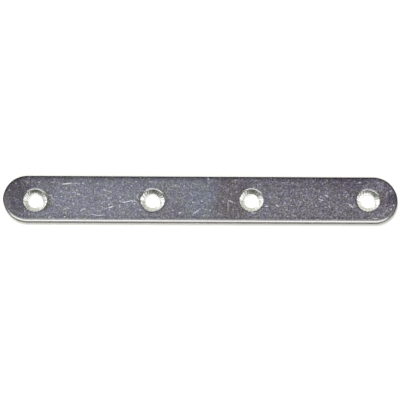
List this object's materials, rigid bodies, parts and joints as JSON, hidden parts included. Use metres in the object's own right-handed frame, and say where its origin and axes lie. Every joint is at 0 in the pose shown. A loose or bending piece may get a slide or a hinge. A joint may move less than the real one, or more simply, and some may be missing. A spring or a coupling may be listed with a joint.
{
  "type": "mending plate",
  "caption": "Flat straight mending plate with round ends and a row of countersunk screw holes, zinc-plated steel, for bridging and fastening a butt joint.",
  "frame": {"origin": "middle of the underside, which is the face laid on the work", "axes": "+X along the plate, +Y across it, +Z out of the countersunk face"},
  "size_m": [0.1524, 0.018, 0.003],
  "materials": {
    "zinc_plated_steel": "bright zinc plate, dulled and scuffed, bare-bright countersinks"
  },
  "bodies": {
    "root": {"plate": "zinc_plated_steel"}
  },
  "joints": []
}
